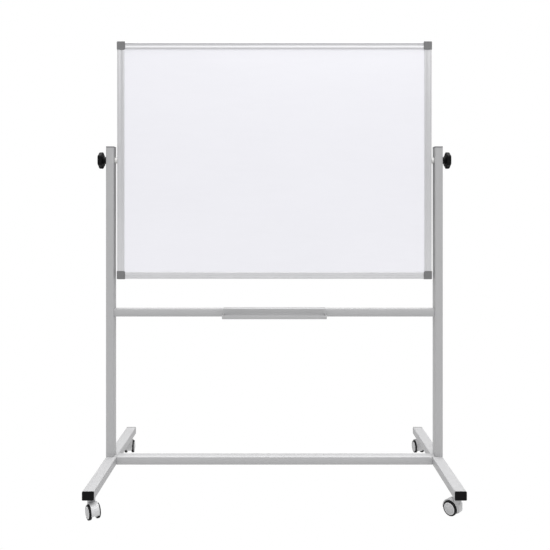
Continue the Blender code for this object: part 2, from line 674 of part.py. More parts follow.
def clamp_knob():
    """A lobed knob along X, with a blind bore for the stud. Its hub starts at 0."""
    hub, grip = KNOB_HUB / 2, KNOB_HUB_LENGTH + KNOB_GRIP
    rim, edge = KNOB / 2, LOBE_DEPTH
    profile = [(0, 0), (hub, 0), (hub, KNOB_HUB_LENGTH), (rim - edge, KNOB_HUB_LENGTH)]
    profile += [(rim, KNOB_HUB_LENGTH + edge), (rim - KNOB_TAPER, grip - edge), (rim - edge, grip)]
    profile += [(hub, grip + KNOB_DOME), (0, grip + KNOB_DOME)]
    knob = lobed(profile, KNOB_LOBES, LOBE_DEPTH, hub, KNOB_STEPS)
    bmesh.ops.transform(knob, matrix=ALONG_X, verts=knob.verts[:])
    bore = cylinder(STUD + HOLE_PLAY, 2 * KNOB_BORE_DEPTH, ALONG_X)
    return carved(knob, cuts=[bore])


def build_knobs():
    for name, side in SIDES:
        x = side * (POST_OUTER + KNOB_CLEARANCE)
        knob = group(f"{name}_knob_axis", at=(x, 0, PIVOT_HEIGHT), turn=(0, 0, 0 if side > 0 else math.pi))
        piece(f"{name}_clamp_knob", clamp_knob(), "black_plastic", knob)


def caster_wheel():
    """A wheel along Y with its tread's middle at 0, a domed hub outwards and a blind bore inwards."""
    radius, half = WHEEL / 2, TREAD / 2
    hub, shoulder = radius - TYRE_WALL, radius - TYRE_SHOULDER
    bore, bore_end = (AXLE + AXLE_PLAY) / 2, AXLE_PAST_TREAD + 2 * GAP
    profile = [(0, bore_end), (bore, bore_end), (bore, -half), (shoulder, -half)]
    profile += [(radius, TYRE_SHOULDER - half), (radius, half - TYRE_SHOULDER), (shoulder, half)]
    profile += [(share * hub, half + HUB_DOME * (1 - share**2)) for share in HUB_RINGS]
    return turned(profile, ALONG_Y, steps=WHEEL_STEPS)


def caster_housing():
    """The web between the wheels, the hood over them and the boss for the stem, whose axis is Z."""
    axle = (TRAIL, AXLE_HEIGHT)
    back = -BOSS / 2
    start = -math.degrees(math.asin(WEB_UNDER_END / WEB_RADIUS))
    round_the_axle = arc(axle, WEB_RADIUS, start, 90, WEB_STEPS)
    underside = [
        (back, AXLE_HEIGHT + WEB_RADIUS, 0),
        (back, AXLE_HEIGHT - WEB_UNDER_HEEL, BOSS / 2),
        (TRAIL, AXLE_HEIGHT - WEB_UNDER_AXLE, WEB_UNDER_AXLE),
    ]
    web = rounded([(x, z, 0) for x, z in round_the_axle] + underside, steps=HEEL_STEPS)
    past = math.degrees(math.asin(HOOD_UNDER_AXLE / HOOD_RADIUS))
    hood = arc(axle, HOOD_RADIUS, -past, 180 + past, HOOD_STEPS)
    # These outlines are (x, z), and ALONG_Y takes (z, x).
    body = prism([[(z, x) for x, z in web]], 2 * (WEB_HALF + GAP), ALONG_Y)
    boss_lowest = AXLE_HEIGHT + BOSS_OVER_AXLE
    joins = [
        prism([[(z, x) for x, z in hood]], HOOD_WIDTH, ALONG_Y),
        cylinder(BOSS, HOUSING_TOP - boss_lowest, at=(0, 0, (HOUSING_TOP + boss_lowest) / 2)),
    ]
    cuts = []
    for side in (-1, 1):
        well_at = (TRAIL, side * (WEB_HALF + HOOD_WIDTH / 2), AXLE_HEIGHT)
        cuts.append(cylinder(WHEEL + 2 * HOOD_PLAY, HOOD_WIDTH, ALONG_Y, well_at, 2 * HOOD_STEPS))
    cuts.append(cylinder(AXLE + AXLE_PLAY, 2 * HOOD_WIDTH, ALONG_Y, (TRAIL, 0, AXLE_HEIGHT)))
    cuts.append(cylinder(STEM + STEM_PLAY, 2 * (STEM_SOCKET + GAP), at=(0, 0, HOUSING_TOP)))
    return carved(body, joins, cuts)


def build_caster(name, x, y):
    """The turning part of a caster. Its empty stands on the swivel axis, with x towards the axle."""
    turn = math.radians(CASTER_TURN[name])
    caster = group(f"{name}_caster", at=(x, y, 0), turn=(0, 0, turn))
    piece(f"{name}_caster_housing", caster_housing(), "caster_plastic", caster)
    half_axle = WHEEL_TRACK / 2 + AXLE_PAST_TREAD
    axle = pin(AXLE, 2 * half_axle, axes=ALONG_Y, at=(0, -half_axle, 0))
    piece(f"{name}_caster_axle", axle, "zinc_steel", caster, (TRAIL, 0, AXLE_HEIGHT))
    for number, side in ((1, 1), (2, -1)):
        place = (TRAIL, side * WHEEL_TRACK / 2, AXLE_HEIGHT)
        turn = (0, 0, 0 if side > 0 else math.pi)
        piece(f"{name}_caster_wheel_{number}", caster_wheel(), "wheel_rubber", caster, place, turn)


def main():
    clear_scene()
    board = group("board_pivot", at=(0, 0, PIVOT_HEIGHT))
    build_frame(board)
    build_corner_caps(board)
    build_panels(board)
    build_pivots(board)
    stand = group("stand")
    for name, side in SIDES:
        build_side(name, 0 if side > 0 else math.pi, stand)
    build_crossbars(stand)
    build_tray(stand)
    build_knobs()
    for end, y in (("front", -1), ("rear", 1)):
        for name, side in SIDES:
            build_foot_end(f"{end}_{name}", side * FOOT_X, y, stand)
            build_caster(f"{end}_{name}", side * FOOT_X, y * CASTER_Y)


main()
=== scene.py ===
"""The looks of a rolling whiteboard, dressed over its CAD frame.

Metres, +Z up. The board's front faces -Y and left is -X. Places and sizes come from the frame's own
nodes and joints. Frame pieces whose shape is right keep their mesh and get a finish, rounded edges
and smooth shading. The collars, knobs, wheels, bolts, screws and the pen tray are made again with
their full detail.
"""

import json
import math

import bmesh
import bpy
from bpy.props import FloatProperty, FloatVectorProperty, IntProperty, PointerProperty
from bpy.types import Operator, Panel, PropertyGroup
from mathutils import Matrix, Vector


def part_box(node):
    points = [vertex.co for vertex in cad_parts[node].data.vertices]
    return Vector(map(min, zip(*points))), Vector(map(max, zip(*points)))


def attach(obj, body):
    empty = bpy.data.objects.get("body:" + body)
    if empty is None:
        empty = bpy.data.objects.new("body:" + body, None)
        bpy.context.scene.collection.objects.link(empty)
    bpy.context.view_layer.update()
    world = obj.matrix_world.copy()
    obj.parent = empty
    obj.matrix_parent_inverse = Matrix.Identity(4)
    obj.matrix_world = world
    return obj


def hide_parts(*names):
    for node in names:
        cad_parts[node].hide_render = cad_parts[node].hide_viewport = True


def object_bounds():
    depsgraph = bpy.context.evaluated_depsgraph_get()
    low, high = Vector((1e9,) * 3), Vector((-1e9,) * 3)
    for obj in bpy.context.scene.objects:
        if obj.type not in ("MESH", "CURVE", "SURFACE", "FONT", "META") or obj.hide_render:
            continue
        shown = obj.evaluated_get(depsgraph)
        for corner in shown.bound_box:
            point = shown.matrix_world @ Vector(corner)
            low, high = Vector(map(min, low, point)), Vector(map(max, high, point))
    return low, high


bl_info = {
    "name": "Rolling Whiteboard",
    "version": (1, 0, 0),
    "blender": (4, 5, 0),
    "location": "View3D > Sidebar > Whiteboard",
    "description": "Dresses the frame of a rolling whiteboard and lights it in a plain studio",
    "category": "Object",
}

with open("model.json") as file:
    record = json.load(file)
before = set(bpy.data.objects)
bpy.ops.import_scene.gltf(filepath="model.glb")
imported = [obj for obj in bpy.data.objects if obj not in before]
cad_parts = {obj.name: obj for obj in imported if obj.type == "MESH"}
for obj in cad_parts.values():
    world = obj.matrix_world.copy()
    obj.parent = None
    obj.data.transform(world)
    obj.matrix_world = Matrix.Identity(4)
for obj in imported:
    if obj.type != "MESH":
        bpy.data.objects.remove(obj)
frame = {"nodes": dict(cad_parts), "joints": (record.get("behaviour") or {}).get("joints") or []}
cad_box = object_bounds()

NODES = frame["nodes"]
JOINTS = {joint["name"]: joint for joint in frame["joints"]}
SIDES = ("left", "right")
ENDS = ("front", "rear")
CORNERS = [f"{end}_{side}" for end in ENDS for side in SIDES]

# Welding, and the edge angles that count as sharp
WELD_REACH = 0.00001
SMOOTH_ANGLE = math.radians(40)
SHARP_EDGE = math.radians(50)
TURNED_EDGE = math.radians(25)
FOLDED_EDGE = math.radians(60)

# Rounded edges and folds
ROUND = {"profile": 0.5, "affect": "EDGES", "material": -1}
FINE_ROUNDING = 2
SOFT_ROUNDING = 3
SHOULDER_ROUNDING = 4
FOLD_SEGMENTS = 4

# Steps of a full turn, and of a knob for each lobe
WHEEL_STEPS = 96
COLLAR_STEPS = 64
WASHER_STEPS = 48
SHANK_STEPS = 32
LOBE_STEPS = 16
HEXAGON = 6

# Domes: steps of a screw's head, rings of a hub cap, and where the hub cap's rounded edge starts
DOME_STEPS = 8
CAP_RINGS = (1, 0.85, 0.7, 0.55, 0.4, 0.2, 0)
CAP_EDGE = 0.9

DIE_LINE_STRETCH = 400
FLOOR_SQUARES = 8
WHITE = (1, 1, 1, 1)
BLACK = (0, 0, 0, 1)


# What a user would change


def colour(name, description, default):
    """A colour property in linear values."""
    return FloatVectorProperty(
        name=name, description=description, default=default, min=0, max=1, subtype="COLOR"
    )


def distance(name, description, default):
    """A length property in metres."""
    return FloatProperty(
        name=name, description=description, default=default, min=0, precision=4, unit="LENGTH"
    )


def share(name, description, default, most=1.0):
    """A property without a unit."""
    return FloatProperty(name=name, description=description, default=default, min=0, max=most)


class FinishColours(PropertyGroup):
    """The colour of each finish on the whiteboard."""

    enamel: colour("Writing face", "Glossy enamel of the writing faces", (0.762, 0.76, 0.80))
    aluminium: colour("Board frame", "Anodised aluminium round the board", (0.60, 0.60, 0.615))
    corner: colour("Corner caps", "Plastic of the board's corner caps", (0.15, 0.15, 0.153))
    paint: colour("Stand paint", "Silver powder coat on tubes and tray", (0.40, 0.40, 0.405))
    post_cap: colour("Post caps", "Plastic of the caps on the posts", (0.23, 0.23, 0.235))
    black: colour("Black parts", "Plastic of the knobs and the foot caps", (0.005, 0.005, 0.0055))
    nylon: colour("Pivot collars", "Nylon between the board and the posts", (0.62, 0.62, 0.61))
    zinc: colour("Fasteners", "Zinc plate on bolts, screws, studs and axles", (0.62, 0.62, 0.60))
    hood: colour("Caster hoods", "Plastic of the caster housings", (0.47, 0.47, 0.475))
    hub: colour("Wheel hubs", "Plastic of the wheels' rims", (0.50, 0.50, 0.505))
    hub_cap: colour("Hub caps", "Plastic of the discs pressed into the hubs", (0.41, 0.41, 0.415))
    tyre: colour("Tyres", "Rubber of the wheels", (0.0045, 0.0045, 0.005))
    board_core: colour("Board core", "Paper honeycomb inside the board", (0.55, 0.45, 0.32))


class EdgeSizes(PropertyGroup):
    """How far the edges of the frame's own pieces are rounded."""

    metal: distance("Metal edges", "Rounding of cut tubes, folded sheet and rails", 0.0003)
    sheet: distance("Panel edges", "Rounding of the panels of the board", 0.0001)
    plastic: distance("Plastic edges", "Rounding of moulded caps", 0.0006)
    housing: distance("Housing edges", "Rounding of the caster housings", 0.0009)


class KnobSizes(PropertyGroup):
    """The shape of a clamp knob inside its frame size."""

    lobes: IntProperty(
        name="Lobes", description="Finger lobes round the grip", default=6, min=3, max=12
    )
    lobe_depth: distance("Lobe depth", "How deep the grip dips between two lobes", 0.004)
    neck: distance("Neck radius", "Radius of the neck next to the post", 0.0135)
    neck_length: distance("Neck length", "From the knob's inner end to its grip", 0.0125)
    edge: distance("Grip edge", "How far the grip's rims curve in", 0.0024)
    dome: distance("Dome", "How far the face rises from the grip's rim", 0.004)
    disc: distance("Disc radius", "Radius of the plain disc in the middle", 0.0150)
    groove: distance("Groove", "Width and depth of the groove round the disc", 0.0007)
    play: distance("Bore play", "Gap round the stud", 0.0003)


class WheelSizes(PropertyGroup):
    """The shape of a caster wheel inside its frame size."""

    tread: distance("Tread width", "Width of the tyre", 0.010)
    tyre: distance("Tyre thickness", "From the tread down to the rim", 0.005)
    shoulder: distance("Shoulder", "How far the tyre's shoulders are rounded", 0.002)
    crown: distance("Tread crown", "How much higher the tread is in its middle", 0.0003)
    rim: distance("Rim width", "Width of the ring outside the hub cap", 0.0038)
    rise: distance("Rim rise", "How far the rim rises from the tyre to the hub cap", 0.0011)
    groove: distance("Cap groove", "Width of the groove round the hub cap", 0.0006)
    play: distance("Bore play", "Gap round the axle", 0.0003)


class CollarSizes(PropertyGroup):
    """The shape of a pivot collar inside its frame size."""

    sleeve: distance("Sleeve radius", "Radius of the sleeve inside the post", 0.007)
    edge: distance("Collar edge", "Rounding of the collar's edges", 0.0008)
    play: distance("Play", "Gap round the stud and before the post", 0.0003)


class TraySizes(PropertyGroup):
    """The folds of the pen tray inside its frame size."""

    sheet: distance("Sheet", "Thickness of the folded sheet", 0.0015)
    bend: distance("Bend", "Inner radius of the folds", 0.0016)
    front_lip: distance("Front lip", "Height of the front lip", 0.0137)
    rear_lip: distance("Rear lip", "Height of the lip behind the bar", 0.014)
    play: distance("Play", "Gap between the tray and the bar", 0.0003)


class FastenerSizes(PropertyGroup):
    """The shapes of bolts and screws inside their frame sizes."""

    bolt: distance("Bolt", "Diameter of a bolt's shank", 0.008)
    head: distance("Head height", "Height of a bolt's head with its washer", 0.005)
    washer: distance("Washer", "Thickness of the washer", 0.0014)
    screw: distance("Screw", "Diameter of a tray screw's shank", 0.004)
    screw_head: distance("Screw head", "Height of a tray screw's head", 0.0025)
    socket: share("Socket", "Share of a screw head's radius that its socket takes", 0.42)
    recess: distance("Recess", "Depth of the socket in a screw's head", 0.0014)


class StageSettings(PropertyGroup):
    """The camera and the light."""

    eye_height: distance("Eye height", "Height of the camera", 1.0265)
    eye_distance: distance("Eye distance", "From the camera to the middle of the board", 2.4286)
    lens: FloatProperty(name="Lens", description="Focal length", default=41.465, unit="CAMERA")
    shift_x: FloatProperty(name="Shift X", description="Sideways shift of the lens", default=0.0011)
    shift_y: FloatProperty(name="Shift Y", description="Upward shift of the lens", default=-0.1113)
    horizon: share("Horizon light", "Strength of the dome at its rim", 0.10, 10)
    zenith: share("Top light", "Strength of the dome at its top", 1.35, 10)
    overhead: share("Overhead light", "Strength of the broad light straight above", 3.2, 10)
    overhead_spread: FloatProperty(
        name="Overhead spread",
        description="Angle of the light above",
        default=math.radians(70),
        subtype="ANGLE",
    )
    key: FloatProperty(
        name="Key light", description="Power of the soft box", default=105.0, unit="POWER"
    )
    key_size: distance("Key size", "Diameter of the soft box", 6.0)
    key_place: FloatVectorProperty(
        name="Key place",
        description="Where the soft box hangs",
        default=(0.4, -3.0, 4.6),
        subtype="XYZ",
    )
    floor: share("Floor light", "How bright the shadowless floor glows", 1.0, 10)
    floor_reach: distance("Floor reach", "Half of the floor's side", 30.0)


SETTINGS = {
    "whiteboard_colours": FinishColours,
    "whiteboard_edges": EdgeSizes,
    "whiteboard_knob": KnobSizes,
    "whiteboard_wheel": WheelSizes,
    "whiteboard_collar": CollarSizes,
    "whiteboard_tray": TraySizes,
    "whiteboard_fastener": FastenerSizes,
    "whiteboard_stage": StageSettings,
}


# Finishes


class Recipe:
    """A finish being put together: a material, its shader and the place of each point on it."""

    def __init__(self, name, roughness, **plain):
        self.material = bpy.data.materials.new(name)
        self.material.use_nodes = True
        self.tree = self.material.node_tree
        self.shader = self.tree.nodes["Principled BSDF"]
        self.shader.inputs["Roughness"].default_value = roughness
        for socket, value in plain.items():
            self.shader.inputs[socket.replace("_", " ")].default_value = value
        self.place = self.node("TexCoord").outputs["Object"]
        self.roughness = roughness

    def node(self, kind, inputs=(), **settings):
        """A shader node whose inputs are values or other nodes' outputs."""
        node = self.tree.nodes.new(f"ShaderNode{kind}")
        for setting, value in settings.items():
            setattr(node, setting, value)
        for socket, value in dict(inputs).items():
            if isinstance(value, bpy.types.NodeSocket):
                self.tree.links.new(value, node.inputs[socket])
            else:
                node.inputs[socket].default_value = value
        return node

    def noise(self, size, detail=2.0, stretch=(1, 1, 1)):
        """Noise whose grains are about size across, drawn out along an axis by its stretch."""
        scale = [1 / (size * s) for s in stretch]
        place = self.node("Mapping", {"Vector": self.place, "Scale": scale}).outputs["Vector"]
        inputs = {"Vector": place, "Scale": 1.0, "Detail": detail}
        return self.node("TexNoise", inputs).outputs["Fac"]

    def cells(self, size):
        """Flat cells about size across, each with a value of its own."""
        inputs = {"Vector": self.place, "Scale": 1 / size}
        cells = self.node("TexVoronoi", inputs, feature="F1").outputs["Color"]
        return self.node("SeparateColor", {"Color": cells}).outputs["Red"]

    def ranged(self, value, low, high, start=0.3, end=0.7):
        """The value's middle stretch, spread over low to high."""
        inputs = {"Value": value, "From Min": start, "From Max": end, "To Min": low, "To Max": high}
        return self.node("MapRange", inputs).outputs["Result"]

    def times(self, first, second):
        """Two values multiplied."""
        return self.node("Math", {0: first, 1: second}, operation="MULTIPLY").outputs["Value"]

    def plus(self, first, second):
        """Two values added."""
        return self.node("Math", {0: first, 1: second}, operation="ADD").outputs["Value"]

    def paint(self, base, shade):
        """The base colour, lighter and darker with the shade, which is 1 where it is as given."""
        scaled = self.node("VectorMath", {"Vector": base, "Scale": shade}, operation="SCALE")
        self.tree.links.new(scaled.outputs["Vector"], self.shader.inputs["Base Color"])

    def rough(self, value, spread):
        """Roughness that wanders by spread either way."""
        rough = self.ranged(value, self.roughness - spread, self.roughness + spread)
        self.tree.links.new(rough, self.shader.inputs["Roughness"])

    def relief(self, height, depth):
        """Bumps of that depth in metres."""
        bump = self.node("Bump", {"Height": height, "Distance": depth, "Strength": 1.0})
        self.tree.links.new(bump.outputs["Normal"], self.shader.inputs["Normal"])


def enamel(base):
    """Fired enamel: glossy, very slightly wavy, with the faint haze that a dry eraser leaves."""
    recipe = Recipe("fired_enamel", 0.30, Coat_Weight=0.25, Coat_Roughness=0.16)
    haze = recipe.noise(0.16, 5, (2.4, 1, 0.8))
    wipes = recipe.noise(0.012, 3, (9, 1, 1))
    tone = recipe.plus(recipe.ranged(haze, 0.99, 1.0), recipe.ranged(wipes, -0.005, 0.003))
    recipe.paint(base, tone)
    recipe.rough(recipe.plus(recipe.times(haze, 0.8), recipe.times(wipes, 0.2)), 0.02)
    recipe.relief(recipe.noise(0.006, 1), 0.000006)
    return recipe.material


def anodised(name, base, along):
    """Satin anodised extrusion with fine die lines along its length."""
    recipe = Recipe(name, 0.30, Metallic=0.38)
    drawn = [DIE_LINE_STRETCH if axis == along else 1 for axis in range(3)]
    lines = recipe.noise(0.0005, 3, drawn)
    cloud = recipe.noise(0.05, 3)
    tone = recipe.plus(recipe.ranged(lines, 0.98, 1.02), recipe.ranged(cloud, -0.01, 0.01))
    recipe.paint(base, tone)
    recipe.rough(recipe.plus(recipe.times(lines, 0.5), recipe.times(cloud, 0.5)), 0.03)
    recipe.relief(lines, 0.000002)
    return recipe.material


def powder_coat(base):
    """Silver powder coat: orange peel, metal flakes and a few soft rub marks."""
    recipe = Recipe("powder_coat", 0.46, Metallic=0.2, Specular_IOR_Level=0.3)
    peel = recipe.noise(0.0016, 2)
    flakes = recipe.cells(0.00035)
    rubs = recipe.noise(0.03, 4)
    tone = recipe.plus(recipe.ranged(flakes, 0.97, 1.03, 0, 1), recipe.ranged(rubs, -0.012, 0.01))
    recipe.paint(base, tone)
    recipe.rough(recipe.plus(recipe.times(rubs, 0.6), recipe.times(peel, 0.4)), 0.03)
    recipe.relief(peel, 0.000008)
    return recipe.material


def moulded(name, base, roughness, grain=0.0007, depth=0.00003, **plain):
    """Moulded plastic with a spark-eroded grain and slightly uneven gloss."""
    recipe = Recipe(name, roughness, **plain)
    texture = recipe.noise(grain, 3)
    cloud = recipe.noise(0.012, 3)
    tone = recipe.plus(recipe.ranged(cloud, 0.95, 1.05), recipe.ranged(texture, -0.03, 0.03))
    recipe.paint(base, tone)
    recipe.rough(recipe.plus(recipe.times(cloud, 0.5), recipe.times(texture, 0.5)), 0.07)
    recipe.relief(texture, depth)
    return recipe.material


def rubber(base):
    """Tyre rubber: dull, with floor dust rubbed into it in patches."""
    recipe = Recipe("tyre_rubber", 0.62, Specular_IOR_Level=0.15)
    skin = recipe.noise(0.0006, 3)
    dust = recipe.noise(0.006, 5)
    tone = recipe.plus(recipe.ranged(dust, 0.85, 1.9), recipe.ranged(skin, -0.1, 0.1))
    recipe.paint(base, tone)
    recipe.rough(recipe.plus(recipe.times(dust, 0.6), recipe.times(skin, 0.4)), 0.12)
    recipe.relief(recipe.plus(skin, recipe.times(dust, 0.5)), 0.00005)
    return recipe.material


def zinc_plate(base):
    """Bright zinc plate with a fine crystal tone and turning marks."""
    recipe = Recipe("zinc_plate", 0.34, Metallic=1.0)
    crystals = recipe.cells(0.0009)
    marks = recipe.noise(0.0003, 2)
    tone = recipe.plus(recipe.ranged(crystals, 0.9, 1.08, 0, 1), recipe.ranged(marks, -0.05, 0.05))
    recipe.paint(base, tone)
    recipe.rough(recipe.plus(recipe.times(crystals, 0.6), recipe.times(marks, 0.4)), 0.1)
    recipe.relief(marks, 0.000008)
    return recipe.material


def honeycomb(base):
    """Brown paper of the core, with its fibres."""
    recipe = Recipe("paper_honeycomb", 0.9)
    fibres = recipe.noise(0.001, 4, (6, 1, 1))
    recipe.paint(base, recipe.ranged(fibres, 0.85, 1.12))
    recipe.relief(fibres, 0.0001)
    return recipe.material


# Each plastic's colour, roughness and further settings for moulded()
PLASTICS = {
    "moulded_corner": ("corner", 0.46, {}),
    "moulded_post_cap": ("post_cap", 0.5, {}),
    "moulded_black": ("black", 0.36, {"Specular_IOR_Level": 0.07}),
    "moulded_nylon": ("nylon", 0.42, {"grain": 0.0012, "depth": 0.00001}),
    "moulded_hood": ("hood", 0.4, {"grain": 0.0008, "depth": 0.00002}),
    "moulded_hub": ("hub", 0.36, {"grain": 0.0008, "depth": 0.00001}),
    "moulded_hub_cap": ("hub_cap", 0.36, {"grain": 0.0008, "depth": 0.00001}),
}

MAKERS = {
    "fired_enamel": lambda colours: enamel(colours.enamel),
    "anodised_rail": lambda colours: anodised("anodised_rail", colours.aluminium, 0),
    "anodised_stile": lambda colours: anodised("anodised_stile", colours.aluminium, 2),
    "powder_coat": lambda colours: powder_coat(colours.paint),
    "zinc_plate": lambda colours: zinc_plate(colours.zinc),
    "tyre_rubber": lambda colours: rubber(colours.tyre),
    "paper_honeycomb": lambda colours: honeycomb(colours.board_core),
}


def finish(context, name):
    """The material of that name, made the first time that a piece asks for it."""
    made = bpy.data.materials.get(name)
    if made:
        return made
    colours = context.scene.whiteboard_colours
    if name in PLASTICS:
        field, roughness, settings = PLASTICS[name]
        return moulded(name, getattr(colours, field), roughness, **settings)
    return MAKERS[name](colours)


# Frame pieces that keep their mesh


def smooth_shading():
    """A node group that drops the triangles' own normals and shades round stretches smooth."""
    name = "smooth_round_faces"
    group = bpy.data.node_groups.get(name)
    if group:
        return group
    group = bpy.data.node_groups.new(name, "GeometryNodeTree")
    for flow in ("INPUT", "OUTPUT"):
        group.interface.new_socket("Geometry", in_out=flow, socket_type="NodeSocketGeometry")
    enter, leave = group.nodes.new("NodeGroupInput"), group.nodes.new("NodeGroupOutput")
    angle = group.nodes.new("GeometryNodeInputMeshEdgeAngle")
    sharp = group.nodes.new("ShaderNodeMath")
    sharp.operation = "GREATER_THAN"
    sharp.inputs[1].default_value = SHARP_EDGE
    normals = group.nodes.new("GeometryNodeSetMeshNormal")
    normals.inputs["Remove Custom"].default_value = True
    normals.inputs["Face Sharpness"].default_value = False
    link = group.links.new
    link(enter.outputs["Geometry"], normals.inputs["Mesh"])
    link(angle.outputs["Unsigned Angle"], sharp.inputs[0])
    link(sharp.outputs["Value"], normals.inputs["Edge Sharpness"])
    link(normals.outputs["Mesh"], leave.inputs["Geometry"])
    return group


def dress(context, node, material, rounding):
    """Gives a frame node its finish, and its sharp edges a rounding."""
    obj = NODES[node]
    obj.data.materials.clear()
    obj.data.materials.append(finish(context, material))
    weld = obj.modifiers.new("Weld", "WELD")
    weld.merge_threshold = WELD_REACH
    obj.modifiers.new("Smooth", "NODES").node_group = smooth_shading()
    bevel = obj.modifiers.new("Edges", "BEVEL")
    bevel.width = rounding
    bevel.segments = FINE_ROUNDING
    bevel.limit_method = "ANGLE"
    bevel.angle_limit = SMOOTH_ANGLE
    bevel.harden_normals = True


# New pieces


def reach(node, start, axis):
    """A frame node's low and high ends along an axis from a point, and its radius round it."""
    places = [vert.co - start for vert in NODES[node].data.vertices]
    along = [place.dot(axis) for place in places]
    radius = max((place - axis * step).length for place, step in zip(places, along))
    return min(along), max(along), radius


def joint_line(name):
    """The place and the direction of a joint's axis."""
    joint = JOINTS[name]
    return Vector(joint["pos_m"]), Vector(joint["axis"]).normalized()


def turned(outline, steps, ring=True):
    """An outline of (radius, height) points turned about Z. A ring's outline closes on itself."""
    bm = bmesh.new()
    verts = [bm.verts.new((radius, 0, height)) for radius, height in outline]
    for first, second in zip(verts, verts[1:] + (verts[:1] if ring else [])):
        bm.edges.new((first, second))
    line = bm.verts[:] + bm.edges[:]
    whole_turn = {"axis": (0, 0, 1), "cent": (0, 0, 0), "angle": math.tau, "use_merge": True}
    bmesh.ops.spin(bm, geom=line, steps=steps, **whole_turn)
    bmesh.ops.remove_doubles(bm, verts=bm.verts[:], dist=WELD_REACH)
    bmesh.ops.recalc_face_normals(bm, faces=bm.faces[:])
    return bm


def round_edges(bm, width, segments=SOFT_ROUNDING, inside=0.0, turn=TURNED_EDGE):
    """Rounds the edges that turn sharply, outside a radius from Z."""
    sharp = [
        edge
        for edge in bm.edges
        if edge.calc_face_angle(0) > turn
        and all(vert.co.xy.length >= inside for vert in edge.verts)
    ]
    bmesh.ops.bevel(bm, geom=sharp, offset=width, segments=segments, clamp_overlap=True, **ROUND)
    return bm


def stand_along(bm, start, axis):
    """Turns a shape's Z to an axis and moves its origin to a point."""
    turn = axis.to_track_quat("Z", "Y").to_matrix().to_4x4()
    bmesh.ops.transform(bm, matrix=Matrix.Translation(start) @ turn, verts=bm.verts[:])


def piece(context, name, bm, material, body, replaced=()):
    """One named piece that rides on a body."""
    mesh = bpy.data.meshes.new(name)
    bm.to_mesh(mesh)
    bm.free()
    if not mesh.polygons:
        raise RuntimeError(f"{name} has no faces")
    mesh.materials.append(finish(context, material))
    mesh.shade_smooth()
    mesh.set_sharp_from_angle(angle=SMOOTH_ANGLE)
    obj = bpy.data.objects.new(name, mesh)
    context.scene.collection.objects.link(obj)
    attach(obj, body)
    if replaced:
        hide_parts(*replaced)


def knob(sizes, length, radius, stud_radius, stud_end):
    """A lobed knob up Z, with a neck, a domed face with a plain disc in it, and a blind bore."""
    bore, bore_end = stud_radius + sizes.play, stud_end + sizes.play
    edge, groove, disc, neck = sizes.edge, sizes.groove, sizes.disc, sizes.neck
    grip = sizes.neck_length
    face = length - groove
    crest = length - sizes.dome
    outline = [(0, bore_end), (bore, bore_end), (bore, 0), (neck, 0), (neck, grip)]
    outline += [(radius - edge, grip), (radius, grip + edge), (radius - edge / 4, crest - edge)]
    outline += [(radius - edge, crest), (disc + groove, face), (disc + groove, face - groove)]
    outline += [(disc, face - groove), (disc, face), (disc / 2, length - groove / 3), (0, length)]
    bm = turned(outline, LOBE_STEPS * sizes.lobes, ring=False)
    grip_starts = disc + 2 * groove
    round_edges(bm, edge / 3, inside=grip_starts)
    for vert in bm.verts:
        out = vert.co.xy.length
        if out > grip_starts:
            wave = 1 - math.cos(sizes.lobes * math.atan2(vert.co.x, vert.co.y))
            ease = min(1, (out - grip_starts) / (radius - edge - grip_starts))
            vert.co.xy *= 1 - ease * sizes.lobe_depth * wave / 2 / out
    return bm


class AddKnobs(Operator):
    """Adds the two clamp knobs"""

    bl_idname = "whiteboard.add_knobs"
    bl_label = "Clamp Knobs"

    def execute(self, context):
        sizes = context.scene.whiteboard_knob
        for side in SIDES:
            start, axis = joint_line(f"{side}_knob_turn")
            node = f"{side}_clamp_knob"
            low, high, radius = reach(node, start, axis)
            _, stud_end, stud_radius = reach(f"{side}_pivot_stud", start, axis)
            bm = knob(sizes, high - low, radius, stud_radius, stud_end - low)
            stand_along(bm, start + axis * low, axis)
            name, body = f"{side}_lobed_knob", f"{side}_knob"
            piece(context, name, bm, "moulded_black", body, [node])
        return {"FINISHED"}


def tyre(sizes, radius):
    """A rubber ring with a crowned tread and round shoulders, its middle at 0."""
    half, rim = sizes.tread / 2, radius - sizes.tyre
    edge = radius - sizes.crown
    bm = turned([(rim, -half), (edge, -half), (radius, 0), (edge, half), (rim, half)], WHEEL_STEPS)
    return round_edges(bm, sizes.shoulder, SHOULDER_ROUNDING, inside=(rim + edge) / 2)


def hub(sizes, radius, axle_radius, axle_end):
    """The plastic body of a wheel, with a raised rim round the seat of its cap. Outwards is up."""
    half, rim = sizes.tread / 2, radius - sizes.tyre
    seat = rim - sizes.rim
    top = half + sizes.rise
    bore, bore_end = axle_radius + sizes.play, axle_end + sizes.play
    floor = top - 2 * sizes.groove
    outline = [(0, bore_end), (bore, bore_end), (bore, -half), (rim, -half), (rim, half)]
    outline += [(rim - sizes.groove, half + sizes.groove / 2), (seat, top), (seat, floor)]
    outline.append((0, floor))
    return round_edges(turned(outline, WHEEL_STEPS, ring=False), sizes.groove / 3, FINE_ROUNDING)


def hub_cap(sizes, radius, high):
    """The domed disc pressed into a hub, with its outer edge rounded."""
    half = sizes.tread / 2
    edge = radius - sizes.tyre - sizes.rim - sizes.groove
    low = half + sizes.rise - 2 * sizes.groove
    start = half + sizes.rise - sizes.groove / 2
    dome = high - start
    outline = [(0, low), (edge, low)]
    outline += [(part * edge, start + dome * (1 - part * part)) for part in CAP_RINGS]
    bm = turned(outline, WHEEL_STEPS, ring=False)
    return round_edges(bm, sizes.groove / 2, FINE_ROUNDING, inside=CAP_EDGE * edge)


